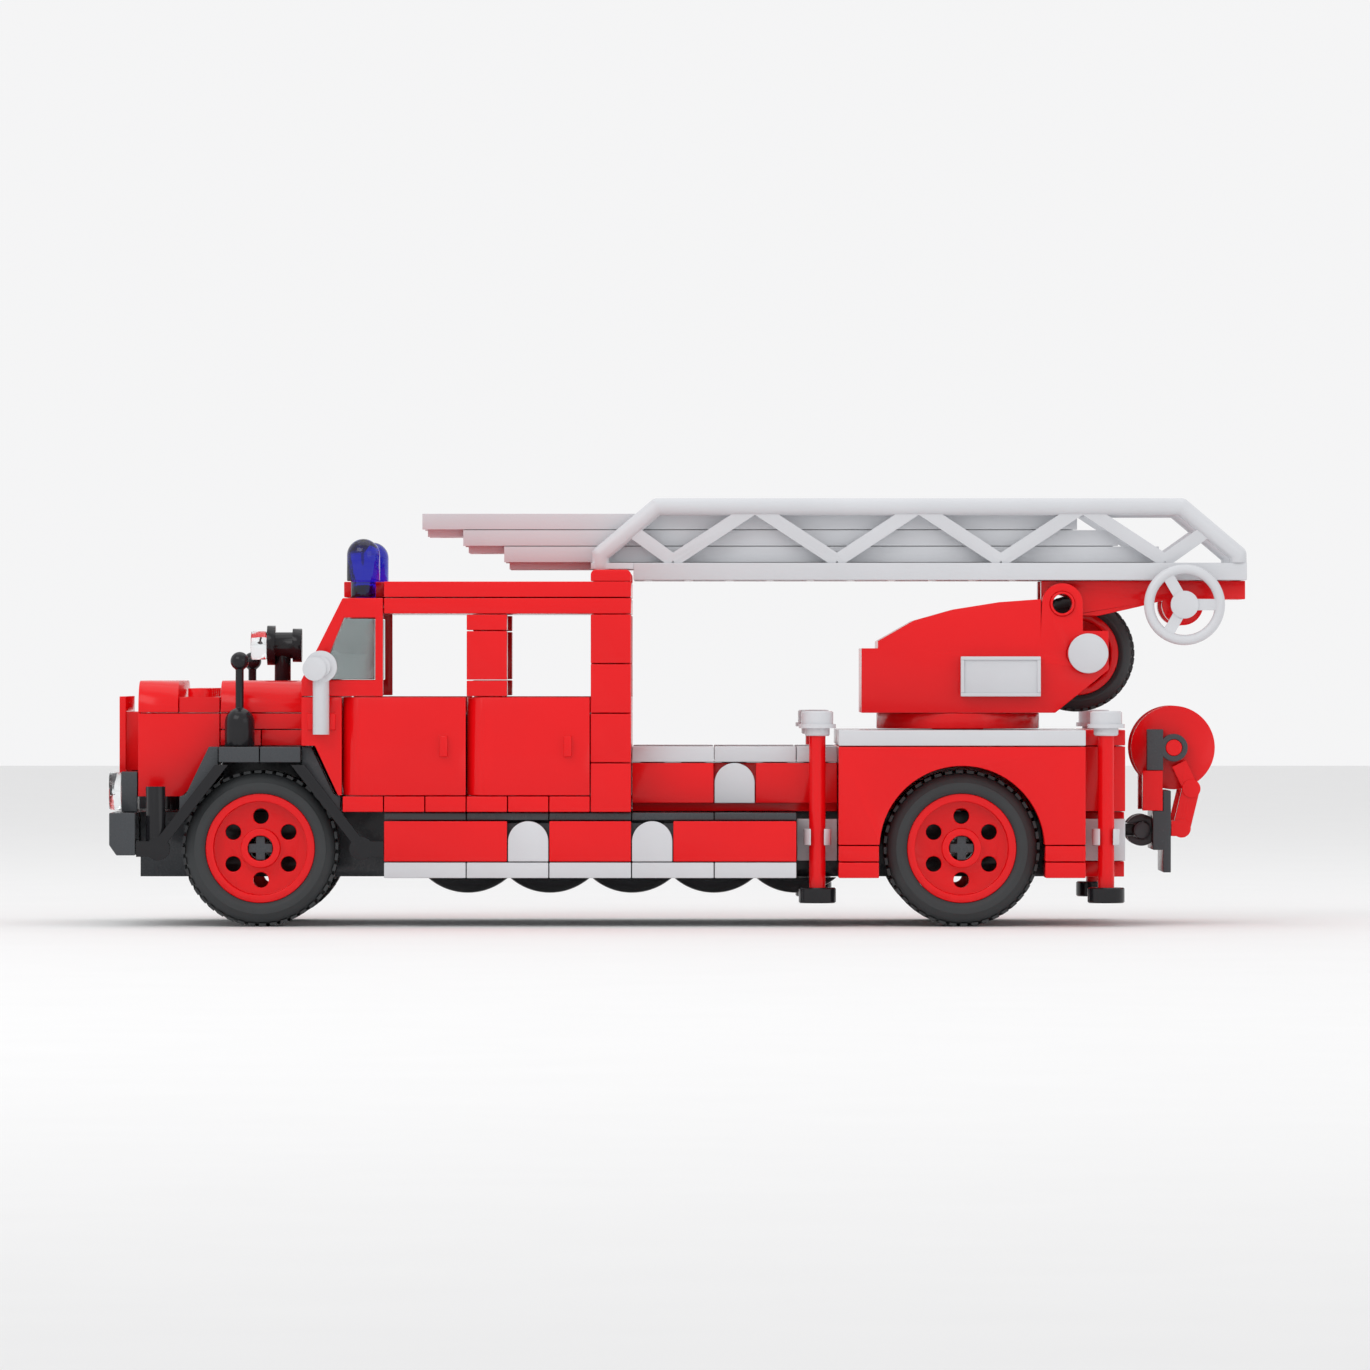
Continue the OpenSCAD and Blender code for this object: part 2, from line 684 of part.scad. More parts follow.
module tyre(x) {
    translate([x, 0, tyre_r]) rotate([-90, 0, 0]) translate([0, 0, tyre_in]) rotate_extrude($fn = 96)
        polygon([[rim_r + bead_gap, 0.6], [tyre_r - 2.6, 0], [tyre_r - 0.4, 1.6], [tyre_r, 2.6],
            [tyre_r, tyre_w - 2.6], [tyre_r - 0.4, tyre_w - 1.6], [tyre_r - 2.6, tyre_w], [rim_r + bead_gap, tyre_w - 0.6]]);
}

rim_inset = 0.8;
rim_lip = 1.5;
rim_dish = 3.4;
hub_r = 3.8;
hole_ring_r = 6.2;
hole_r = 1.5;

// A dished rim: barrel, web with six holes, and hub bored for the cross axle
module rim(x) {
    w = tyre_w - 2 * rim_inset;
    translate([x, 0, tyre_r]) rotate([-90, 0, 0]) translate([0, 0, tyre_in + rim_inset]) difference() {
        union() {
            difference() {
                cylinder(r = rim_r, h = w, $fn = 96);
                translate([0, 0, -1]) cylinder(r = rim_r - rim_lip, h = w + 2, $fn = 96);
            }
            translate([0, 0, w - rim_dish - 2]) cylinder(r = rim_r - rim_lip + eps, h = 2, $fn = 96);
            cylinder(r = hub_r, h = w - 0.6);
        }
        translate([0, 0, -1]) cylinder(r = axle_r + pin_gap, h = w + 2);
        for (i = [0:5]) rotate(90 + i * 60) translate([hole_ring_r, 0, -1]) cylinder(r = hole_r, h = w + 2);
    }
}

module axle(x) { cross_rod(x, tyre_r, axle_r, -tyre_out + 2, tyre_out - 2); }

module front_tyres() { color(black) both_sides() tyre(gx(front_axle_g)); }
module front_rims() { color(red) both_sides() rim(gx(front_axle_g)); }
module front_axle() { color(black) axle(gx(front_axle_g)); }
module rear_tyres() { color(black) both_sides() tyre(gx(rear_axle_g)); }
module rear_rims() { color(red) both_sides() rim(gx(rear_axle_g)); }
module rear_axle() { color(black) axle(gx(rear_axle_g)); }

// ---- Turntable and turret ----
pivot_x = gx(rear_axle_g);
turret_half_w = 2 * stud;
turret_z = kz(deck_k + 1);
hinge_x = pivot_x + 20;
hinge_z = turret_z + 21.3;
hinge_pin_r = 2.4;
hinge_eye_r = 4;
kingpin_r = 5;
cheek_w = 4;
drum_x = pivot_x + 23.2;
drum_z = turret_z + 11.6;
drum_w = 11;
drum_gap = 0.7;

module turntable() {
    color(red) translate([pivot_x, 0, 0]) {
        translate([0, 0, kz(deck_k) + inset]) cylinder(r = turret_half_w, h = plate - 2 * inset, $fn = 96);
        translate([0, 0, kz(bed_k) + 0.4]) cylinder(r = kingpin_r, h = plate);
    }
}

// Outline of the turret's sloping body, from the pivot axis and the turntable's top
turret_outline = [[-16, 0], [-16, 14], [-9, 18], [-1.2, 20.2], [7.6, 21.6], [15.8, 22.2], [15.8, 0]];
cheek_outline = [[15.8, 0], [18.6, 0], [29, 8.4], [29, 16], [24, 16], [24, 21.3], [16, 21.3], [15.7, 14]];

function at_pivot(points) = [for (p = points) [pivot_x + p[0], turret_z + p[1]]];

// The turret: body, front plate, and two cheeks that hold the ladder's hinge and the drum's axle
module turret() {
    color(red) difference() {
        union() {
            side_prism(-turret_half_w + inset, turret_half_w - inset, at_pivot(turret_outline));
            translate([pivot_x - 19.2, -turret_half_w + inset, turret_z])
                cube([3.3, 2 * (turret_half_w - inset), 12.6]);
            both_sides() {
                side_prism(turret_half_w - cheek_w, turret_half_w - inset, at_pivot(cheek_outline));
                cross_rod(hinge_x, hinge_z, hinge_eye_r, turret_half_w - cheek_w, turret_half_w - inset);
            }
        }
        cross_rod(hinge_x, hinge_z, hinge_pin_r + pin_gap, -half_w, half_w);
        cross_rod(drum_x, drum_z, axle_r + pin_gap, -half_w, half_w);
        cross_rod(drum_x, drum_z, drum_r + drum_gap, -turret_half_w + cheek_w, turret_half_w - cheek_w);
        both_sides() side_prism(arm_in - run_gap, turret_half_w - cheek_w, at_pivot([[11, 17], [11, 24], [17, 24], [17, 17]]));
    }
}

// Grey control-panel tiles and the round end caps on the drum's axle
module turret_tiles() {
    color(light_grey) both_sides() {
        translate([pivot_x + 0.1, turret_half_w, turret_z + 3.2]) cube([2 * stud - 0.4, 2.2, stud - 0.2]);
        cross_rod(drum_x + 1.8, drum_z, stud / 2 - inset, turret_half_w, turret_half_w + 1.6);
    }
}

drum_rim_r = 8.2;

module drum_tyre() {
    color(black) difference() {
        cross_rod(drum_x, drum_z, drum_r, -drum_w / 2, drum_w / 2);
        cross_rod(drum_x, drum_z, drum_rim_r + bead_gap, -drum_w, drum_w);
    }
}

module drum_rim() {
    w = drum_w / 2 - 0.4;
    color(red) {
        difference() {
            cross_rod(drum_x, drum_z, drum_rim_r, -w, w);
            both_sides() cross_rod(drum_x, drum_z, drum_rim_r - rim_lip, 2, w + 1);
        }
        cross_rod(drum_x, drum_z, axle_r, -turret_half_w + 0.2, turret_half_w - 0.2);
    }
}

// ---- Ladder ----
arm_in = 7;
arm_out = turret_half_w - cheek_w - run_gap;
ladder_x0 = gx(bed_g - 1);
ladder_x1 = ladder_x0 + ladder_len;
rail_x0 = gx(bed_g) + 0.3;
rail_z = kz(roof_k + 2) + run_gap;
rail_h = 3.4;
rail_in = 9.3;
wheel_dx = 43.7;
arm_top_z = rail_z - inset;
shaft_r = 1.6;

// The two side plates of the lifting arm, each with its hollow hinge pin
module ladder_arm() {
    outline = [[hinge_x - 4, arm_top_z], [hinge_x - 4, hinge_z - 1.5], [hinge_x - 2, hinge_z - 2.6],
        [hinge_x + 7, hinge_z - 2.4], [hinge_x + 15, hinge_z - 0.6], [hinge_x + 21, hinge_z + 0.9],
        [ladder_x1 - inset, hinge_z + 0.9], [ladder_x1 - inset, arm_top_z]];
    color(red) {
        difference() {
            both_sides() {
                side_prism(arm_in, arm_out, outline);
                cross_rod(pivot_x + wheel_dx, hinge_z - 0.2, 4, arm_in, arm_out);
            }
            cross_rod(hinge_x, hinge_z, 1.9, -half_w, half_w);
            cross_rod(pivot_x + wheel_dx, hinge_z - 0.2, shaft_r + pin_gap, -half_w, half_w);
        }
        both_sides() difference() {
            cross_rod(hinge_x, hinge_z, hinge_pin_r, arm_out - eps, turret_half_w + 0.4);
            cross_rod(hinge_x, hinge_z, 1.9, arm_in, turret_half_w + 1);
        }
    }
}

// The cross block that joins the arm's side plates behind the drum
module arm_block() {
    color(red) difference() {
        translate([hinge_x + 21, -arm_in, hinge_z + 0.9])
            cube([ladder_x1 - inset - hinge_x - 21, 2 * arm_in, arm_top_z - hinge_z - 0.9]);
        cross_rod(pivot_x + wheel_dx, hinge_z - 0.2, shaft_r + pin_gap, -half_w, half_w);
    }
}

truss_tube_r = 1.7;
truss_w = 2.6;
truss_y = ladder_half_w - truss_w / 2;
truss_slope = 11;
strut_t = 2.6;

// A flat strip of width t between two points of the X-Z plane, on the truss plane
module strut(p, q, t) {
    d = q - p;
    l = norm(d);
    n = [-d[1], d[0]] * (t / 2 / l);
    side_prism(truss_y - truss_w / 2 + 0.4, truss_y + truss_w / 2 - 0.4, [p + n, q + n, q - n, p - n]);
}

// A tube between two points of the X-Z plane
module tube(p, q) {
    d = q - p;
    translate([p[0], truss_y, p[1]]) rotate([0, atan2(d[0], d[1]), 0]) {
        cylinder(r = truss_tube_r, h = norm(d));
        sphere(r = truss_tube_r);
    }
}

// One side of the base section: a top tube bent down at both ends, and a zigzag below it
module truss() {
    z0 = rail_z + rail_h;
    z1 = z0 + truss_h - truss_tube_r;
    x0 = ladder_x0 + truss_tube_r + 0.2;
    x1 = ladder_x1 - truss_tube_r;
    xa = x0 + truss_slope;
    xb = x1 - truss_slope;
    tube([x0, z0 - 0.5], [x0, z0 + 1.6]);
    tube([x0, z0 + 1.6], [xa, z1]);
    tube([xa, z1], [xb, z1]);
    tube([xb, z1], [x1, z0 + 1.6]);
    tube([x1, z0 + 1.6], [x1, z0 - 0.5]);
    first = ladder_x0 + 2 * stud;
    step = (ladder_len - 4 * stud) / 3;
    strut([x0 + 5, z0 + 7], [first, z0 + 0.4], strut_t);
    for (i = [0:2]) {
        low = first + i * step;
        strut([low, z0 + 0.4], [low + step / 2, z1], strut_t);
        strut([low + step / 2, z1], [low + step, z0 + 0.4], strut_t);
    }
    strut([ladder_x1 - 2 * stud, z0 + 0.4], [x1 - 5, z0 + 7], strut_t);
}

// The base section's two straight side rails
module ladder_base() {
    color(light_grey) both_sides()
        translate([rail_x0, rail_in, rail_z]) cube([ladder_x1 - rail_x0, ladder_half_w - rail_in, rail_h]);
}

// Rungs between the rails, left out over the turning hinge pin
module ladder_rungs() {
    color(light_grey) {
        for (x = [rail_x0 + 2:rung_pitch:hinge_x - 6]) base_rung(x);
        for (x = [hinge_x + 22:rung_pitch / 2:ladder_x1 - 2]) base_rung(x);
    }
}

module base_rung(x) {
    translate([x, -rail_in, rail_z]) cube([1.6, 2 * rail_in, 1.4]);
}

// The trusses that stand on the rails, each with a thin tip that reaches over the roof posts
module ladder_trusses() {
    color(light_grey) both_sides() difference() {
        union() {
            translate([ladder_x0, rail_in, rail_z + post_h])
                cube([rail_x0 - ladder_x0 + 1, ladder_half_w - rail_in, rail_h - post_h]);
            truss();
        }
        translate([rail_x0, rail_in - 1, rail_z - 1]) cube([ladder_len, ladder_half_w, rail_h + 1]);
    }
}

lip_w = 3.3;
slide_in = slide_half_w - 3;

// A sliding section: two side rails on inner runners, and its rungs
module ladder_section(n) {
    x0 = ladder_x0 - n * stud - 1;
    z0 = rail_z + rail_h + 0.15 + (n - 2) * slide_step;
    h = slide_step - 0.15;
    color(light_grey) {
        both_sides() {
            translate([x0, slide_in, z0]) cube([ladder_len, slide_half_w - slide_in, h]);
            translate([x0 + 1, slide_in - lip_w, z0 - 1.4]) cube([ladder_len - 2, lip_w, 2.7]);
            translate([x0 + 1, slide_in - 0.5, z0]) cube([ladder_len - 2, 1, 1.3]);
        }
        for (x = [x0 + 3:rung_pitch:x0 + ladder_len - 3])
            translate([x, -slide_in + lip_w - eps, z0 - 1]) cube([1.6, 2 * (slide_in - lip_w + eps), 1.6]);
    }
}

module ladder_section_2() { ladder_section(2); }
module ladder_section_3() { ladder_section(3); }
module ladder_section_4() { ladder_section(4); }

spoke_w = 2.2;
rim_tube_r = 1;

// The winding wheel on the left of the ladder, with three spokes on a shaft through the arm
module handwheel() {
    y = -turret_half_w - 2.4;
    color(light_grey) {
        translate([pivot_x + wheel_dx, y, hinge_z - 0.2]) rotate([90, 0, 0]) {
            rotate_extrude($fn = 72) translate([handwheel_r - rim_tube_r, 0]) circle(r = rim_tube_r, $fn = 24);
            translate([0, 0, -0.9]) cylinder(r = 2.7, h = 1.8);
            for (a = [0, 120, 240]) rotate(a) translate([1.5, -spoke_w / 2, -0.6])
                cube([handwheel_r - rim_tube_r - 1.8, spoke_w, 1.2]);
        }
        cross_rod(pivot_x + wheel_dx, hinge_z - 0.2, shaft_r, y, arm_out);
    }
}

// ---- Hose reel ----
reel_x = reel_bar_x + 6.1;
reel_z = reel_bar_z + 16.2;
reel_disc_t = 1.5;
reel_frame_y0 = reel_w / 2 + reel_disc_t + 0.6;
reel_frame_y1 = reel_frame_y0 + 3.2;
reel_pin_r = 1.6;
plate_x = reel_bar_x + 4;

// Dark frame: clips on the tow bar, an upright plate, and a ring at each end of the reel's pin
module reel_frame() {
    color(dark_grey) {
        difference() {
            union() {
                both_sides() cross_rod(reel_bar_x, reel_bar_z, 3.1, 2.4, 5.6);
                translate([reel_bar_x + 2, -reel_frame_y1, reel_bar_z - 3.8]) cube([2.1, 2 * reel_frame_y1, 7.6]);
                translate([plate_x, -reel_frame_y1, reel_bar_z - 8.2]) cube([1.5, 2 * reel_frame_y1, 16]);
            }
            cross_rod(reel_bar_x, reel_bar_z, bar_r + pin_gap, -tow_half - 1, tow_half + 1);
            translate([reel_bar_x - 4, -tow_half, reel_bar_z - 1.3]) cube([4, 2 * tow_half, 2.6]);
        }
        both_sides() difference() {
            union() {
                translate([plate_x - 3.2, reel_frame_y0, reel_z - 4.4]) cube([3.2, 3.2, stud]);
                cross_rod(reel_x, reel_z, 2.7, reel_frame_y0, reel_frame_y1);
            }
            cross_rod(reel_x, reel_z, reel_pin_r + pin_gap, 0, half_w);
        }
    }
}

// Red links between the frame's foot and the reel's pin, and the blocks under the upper tiles
module reel_arms() {
    elbow = [reel_x + 3.4, reel_z - 8];
    foot = [reel_x + 1.5, reel_z - 15.8];
    color(red) both_sides() {
        translate([plate_x - 4, reel_frame_y0, reel_bar_z + 3.9]) cube([3.9, 3.2, reel_z - reel_bar_z - 8.4]);
        reel_link([reel_x + 1, reel_z - 3.1], elbow, 1.5);
        reel_link(elbow, foot, 1.7);
        cross_rod(elbow[0], elbow[1], 1.8, reel_frame_y0, reel_frame_y1);
        cross_rod(foot[0], foot[1], 1.8, reel_frame_y0, reel_frame_y1);
        translate([plate_x + 1.6, reel_frame_y0, foot[1] - 1.5]) cube([foot[0] - plate_x - 1.6, 3.2, 3]);
    }
}

module reel_link(p, q, r) {
    d = q - p;
    n = [-d[1], d[0]] * (r / norm(d));
    side_prism(reel_frame_y0 + 0.5, reel_frame_y1 - 0.5, [p + n, q + n, q - n, p - n]);
}

module hose_reel() {
    color(red) {
        both_sides() cross_rod(reel_x, reel_z, reel_r, reel_w / 2, reel_w / 2 + reel_disc_t);
        cross_rod(reel_x, reel_z, reel_r - 2.8, -reel_w / 2 - eps, reel_w / 2 + eps);
        cross_rod(reel_x, reel_z, reel_pin_r, -reel_frame_y1, reel_frame_y1);
    }
}

chassis();
underside_domes();
side_panels();
edge_tiles();
arch_top_tiles();
ledge_plates();
leg_brackets();
rear_box();
rear_corners();
tow_bar();
cab_floor();
cab_walls();
cab_roof();
roof_posts();
windscreen_frame();
windscreen_glass();
seats();
beacons();
bonnet_sides();
bonnet_top();
cowl();
grille();
fenders();
fender_arms();
bumper();
lamp_lenses();
marker_levers();
searchlight();
mirrors();
door_front_left();
door_front_right();
door_rear_left();
door_rear_right();
leg_front_left();
leg_front_right();
leg_rear_left();
leg_rear_right();
front_tyres();
front_rims();
front_axle();
rear_tyres();
rear_rims();
rear_axle();
turntable();
turret();
turret_tiles();
drum_tyre();
drum_rim();
ladder_arm();
arm_block();
ladder_base();
ladder_rungs();
ladder_trusses();
ladder_section_2();
ladder_section_3();
ladder_section_4();
handwheel();
reel_frame();
reel_arms();
hose_reel();
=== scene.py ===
"""Brick-built fire engine: finished plastic pieces, wheels, ladder, reel and a plain studio."""
import json
import math

import bmesh
import bpy
from bpy.props import FloatProperty, FloatVectorProperty, IntProperty, PointerProperty
from mathutils import Matrix, Vector


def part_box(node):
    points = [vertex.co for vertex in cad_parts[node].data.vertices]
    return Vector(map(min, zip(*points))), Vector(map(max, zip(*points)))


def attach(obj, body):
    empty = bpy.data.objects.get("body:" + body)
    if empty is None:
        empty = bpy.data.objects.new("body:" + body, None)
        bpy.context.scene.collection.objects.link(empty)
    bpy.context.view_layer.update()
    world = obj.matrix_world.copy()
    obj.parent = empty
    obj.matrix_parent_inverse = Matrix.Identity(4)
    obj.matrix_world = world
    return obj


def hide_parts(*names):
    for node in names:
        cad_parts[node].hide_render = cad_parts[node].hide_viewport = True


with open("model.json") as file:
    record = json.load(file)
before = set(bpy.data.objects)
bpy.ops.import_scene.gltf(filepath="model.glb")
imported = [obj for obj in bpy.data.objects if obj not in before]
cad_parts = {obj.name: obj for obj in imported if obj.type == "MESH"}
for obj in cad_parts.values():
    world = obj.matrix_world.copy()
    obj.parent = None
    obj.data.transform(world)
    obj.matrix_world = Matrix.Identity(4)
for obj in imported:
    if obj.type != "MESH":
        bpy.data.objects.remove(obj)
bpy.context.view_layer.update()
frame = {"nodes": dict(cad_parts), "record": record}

bl_info = {
    "name": "Brick Fire Engine",
    "version": (1, 0, 0),
    "blender": (4, 5, 0),
    "location": "View3D > Sidebar > Fire Engine",
    "description": "Builds the finished pieces of a brick-built fire engine",
    "category": "Object",
}

MM = 0.001
STUD = 8 * MM
STUD_RADIUS = 2.4 * MM
STUD_HEIGHT = 1.6 * MM
CROWN_RADIUS = 2.28 * MM  # Narrower top disc that rounds off a stud's edge
CROWN_HEIGHT = 1.8 * MM
TYRE_WIDTH = 13 * MM
TYRE_BORE = 10.66 * MM
DRUM_BORE = 8.26 * MM
MERGE = 0.002 * MM
SMOOTH_ANGLE = math.radians(38)
BEVEL_ANGLE = math.radians(32)
FLAT_ANGLE = math.radians(0.6)

# Nodes that keep their own outline and only get rounded edges, by the colour they are moulded in
RED_NODES = [
    "side_panels", "rear_box", "rear_corners", "cab_floor", "cab_walls", "cab_roof", "roof_posts",
    "windscreen_frame", "bonnet_sides", "bonnet_top", "cowl", "grille", "turntable", "turret", "drum_rim",
    "ladder_arm", "arm_block", "reel_arms", "hose_reel", "front_rims", "rear_rims",
    "door_front_left", "door_front_right", "door_rear_left", "door_rear_right",
]
GREY_NODES = [
    "edge_tiles", "arch_top_tiles", "leg_brackets", "mirrors", "ladder_base",
    "ladder_rungs", "ladder_trusses", "ladder_section_2", "ladder_section_3", "ladder_section_4", "handwheel",
]
DARK_NODES = ["chassis", "ledge_plates", "tow_bar", "fenders", "bumper", "reel_frame"]
BLACK_NODES = ["underside_domes", "seats", "fender_arms", "marker_levers", "searchlight"]
LEGS = ["leg_front_left", "leg_front_right", "leg_rear_left", "leg_rear_right"]
BODY_OF = {node: body for body, nodes in frame["record"]["behaviour"]["bodies"].items() for node in nodes}


class PlasticSettings(bpy.types.PropertyGroup):
    """Colours and surface of the moulded plastic"""

    red: FloatVectorProperty(
        name="Red", description="Colour of the red pieces", subtype="COLOR", default=(0.78, 0.004, 0.007))
    light: FloatVectorProperty(
        name="Light grey", description="Colour of the light grey pieces", subtype="COLOR",
        default=(0.63, 0.64, 0.665))
    dark: FloatVectorProperty(
        name="Dark grey", description="Colour of the dark grey pieces", subtype="COLOR",
        default=(0.055, 0.06, 0.066))
    black: FloatVectorProperty(
        name="Black", description="Colour of the black pieces", subtype="COLOR", default=(0.012, 0.012, 0.014))
    rubber: FloatVectorProperty(
        name="Rubber", description="Colour of the tyres", subtype="COLOR", default=(0.036, 0.039, 0.041))
    blue: FloatVectorProperty(
        name="Blue", description="Colour of the beacons", subtype="COLOR", default=(0.004, 0.008, 0.42))
    edge: FloatProperty(
        name="Edge radius", description="Rounding of moulded edges", subtype="DISTANCE", default=0.16 * MM)


class WheelSettings(bpy.types.PropertyGroup):
    """Tread and cross axle of the wheels"""

    lugs: IntProperty(name="Lugs", description="Tread blocks in one row round a tyre", default=44, min=12)
    lug_height: FloatProperty(
        name="Lug height", description="Depth of the tread grooves", subtype="DISTANCE", default=0.55 * MM)
    fin: FloatProperty(
        name="Axle fin", description="Thickness of the cross axle's fins", subtype="DISTANCE", default=1.8 * MM)


# ---- Shader expressions ----
class Term:
    """A socket that builds Math nodes when it is used in an expression"""

    def __init__(self, paint, socket):
        self.paint = paint
        self.socket = socket

    def _join(self, operation, a, b):
        return self.paint.node("ShaderNodeMath", {"operation": operation}, {0: a, 1: b})

    def __add__(self, other):
        return self._join("ADD", self, other)

    def __radd__(self, other):
        return self._join("ADD", other, self)

    def __mul__(self, other):
        return self._join("MULTIPLY", self, other)

    def __rmul__(self, other):
        return self._join("MULTIPLY", other, self)


class Paint:
    """A material and the one method that adds nodes to it"""

    def __init__(self, name):
        self.material = bpy.data.materials.new(name)
        self.material.use_nodes = True
        self.tree = self.material.node_tree
        self.surface = self.tree.nodes["Principled BSDF"]
        self.place = self.node("ShaderNodeTexCoord", out="Object")

    def node(self, kind, settings=None, inputs=None, out=0):
        made = self.tree.nodes.new(kind)
        for key, value in (settings or {}).items():
            setattr(made, key, value)
        for key, value in (inputs or {}).items():
            self.feed(made.inputs[key], value)
        return Term(self, made.outputs[out])

    def feed(self, socket, value):
        if isinstance(value, Term):
            self.tree.links.new(value.socket, socket)
        else:
            socket.default_value = value

    def set(self, **values):
        for key, value in values.items():
            self.feed(self.surface.inputs[key.replace("_", " ")], value)

    def noise(self, scale, detail=2.0, roughness=0.5):
        inputs = {"Vector": self.place, "Scale": scale, "Detail": detail, "Roughness": roughness}
        return self.node("ShaderNodeTexNoise", inputs=inputs)

    def blend(self, factor, low, high):
        inputs = {0: factor, 6: (*low, 1.0), 7: (*high, 1.0)}
        return self.node("ShaderNodeMix", {"data_type": "RGBA"}, inputs, out=2)

    def bump(self, height, strength, distance):
        inputs = {"Height": height, "Strength": strength, "Distance": distance}
        return self.node("ShaderNodeBump", inputs=inputs)


def tinted(colour, factor):
    return tuple(min(1.0, channel * factor) for channel in colour)


def moulded_plastic(name, colour, shine=0.13):
    """Hard glossy plastic: faint mottling, fine scuffs in the gloss and slight sink marks"""
    paint = Paint(name)
    cloud = paint.noise(55.0, 3.0)
    scuff = paint.noise(900.0, 4.0, 0.7)
    sink = paint.noise(140.0, 1.0)
    paint.set(
        Base_Color=paint.blend(cloud, tinted(colour, 0.93), tinted(colour, 1.06)),
        Roughness=scuff * 0.09 + (shine + cloud * 0.05),
        Normal=paint.bump(sink * 0.8 + scuff * 0.05, 0.16, 0.12 * MM),
    )
    paint.surface.inputs["IOR"].default_value = 1.54
    paint.surface.inputs["Specular IOR Level"].default_value = 0.22
    paint.surface.inputs["Coat Weight"].default_value = 0.08
    paint.surface.inputs["Coat Roughness"].default_value = 0.05
    return paint.material


def tyre_rubber(name, colour):
    """Matt rubber with a fine grain and paler worn patches"""
    paint = Paint(name)
    grain = paint.noise(2600.0, 4.0, 0.6)
    wear = paint.noise(160.0, 3.0)
    paint.set(
        Base_Color=paint.blend(wear, tinted(colour, 0.8), tinted(colour, 1.25)),
        Roughness=wear * 0.16 + 0.5,
        Normal=paint.bump(grain, 0.25, 0.05 * MM),
    )
    paint.surface.inputs["Specular IOR Level"].default_value = 0.35
    return paint.material


def clear_plastic(name, colour, shine=0.04):
    """Transparent moulded plastic with faint flow marks"""
    paint = Paint(name)
    flow = paint.noise(120.0, 2.0)
    paint.set(
        Base_Color=paint.blend(flow, tinted(colour, 0.94), colour),
        Roughness=flow * 0.04 + shine,
        Normal=paint.bump(flow, 0.12, 0.1 * MM),
    )
    paint.surface.inputs["Transmission Weight"].default_value = 1.0
    paint.surface.inputs["IOR"].default_value = 1.49
    return paint.material


def studio_paper(name):
    """Pale matt paper with a hardly visible fibre"""
    paint = Paint(name)
    fibre = paint.noise(40.0, 5.0)
    paint.set(
        Base_Color=paint.blend(fibre, (0.81, 0.81, 0.81), (0.84, 0.84, 0.84)),
        Roughness=fibre * 0.1 + 0.85,
    )
    return paint.material


MAKERS = {
    "red": lambda s: moulded_plastic("red_plastic", tuple(s.red)),
    "light": lambda s: moulded_plastic("light_grey_plastic", tuple(s.light), 0.16),
    "dark": lambda s: moulded_plastic("dark_grey_plastic", tuple(s.dark), 0.2),
    "black": lambda s: moulded_plastic("black_plastic", tuple(s.black), 0.1),
    "rubber": lambda s: tyre_rubber("tyre_rubber", tuple(s.rubber)),
    "clear": lambda s: clear_plastic("clear_plastic", (0.93, 0.96, 0.97)),
    "tinted": lambda s: clear_plastic("tinted_plastic", (0.52, 0.56, 0.56)),
    "blue": lambda s: clear_plastic("blue_plastic", tuple(s.blue), 0.05),
}
made_materials = {}


def finish_of(colour):
    if colour not in made_materials:
        made_materials[colour] = MAKERS[colour](bpy.context.scene.fire_plastic)
    return made_materials[colour]


# ---- Mesh helpers ----
def new_object(name, mesh):
    made = bpy.data.objects.new(name, mesh)
    bpy.context.scene.collection.objects.link(made)
    return made


def bake(obj):
    """Replace an object's mesh by its evaluated one and drop its modifiers"""
    graph = bpy.context.evaluated_depsgraph_get()
    graph.update()
    mesh = bpy.data.meshes.new_from_object(obj.evaluated_get(graph))
    obj.modifiers.clear()
    obj.data = mesh
    return obj


def settle(obj, node, colour, *replaced):
    """Give a finished piece its material and its body, and let it stand for CAD nodes"""
    obj.data.materials.clear()
    obj.data.materials.append(finish_of(colour))
    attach(obj, BODY_OF[node])
    if replaced:
        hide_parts(*replaced)
    return obj


def clean_copy(node):
    """A merged copy of a CAD node's mesh with its flat faces joined up"""
    mesh = frame["nodes"][node].data.copy()
    shape = bmesh.new()
    shape.from_mesh(mesh)
    bmesh.ops.remove_doubles(shape, verts=shape.verts, dist=MERGE)
    bmesh.ops.dissolve_degenerate(shape, edges=shape.edges, dist=MERGE)
    bmesh.ops.dissolve_limit(
        shape, angle_limit=FLAT_ANGLE, verts=shape.verts, edges=shape.edges, delimit={"NORMAL"})
    for face in shape.faces:
        face.smooth = True
    shape.to_mesh(mesh)
    shape.free()
    return mesh


def round_edges(obj, width, segments=2):
    """Round the hard edges of a piece and keep its flats flat"""
    bevel = obj.modifiers.new("edges", "BEVEL")
    bevel.width = width
    bevel.segments = segments
    bevel.limit_method = "ANGLE"
    bevel.angle_limit = BEVEL_ANGLE
    bevel.use_clamp_overlap = True
    bevel.harden_normals = True
    return bake(obj)


def finish_node(node, colour, width=None):
    """The moulded piece that stands for one CAD node"""
    edge = width or bpy.context.scene.fire_plastic.edge
    piece = new_object("moulded_" + node, clean_copy(node))
    round_edges(piece, edge)
    return settle(piece, node, colour, node)


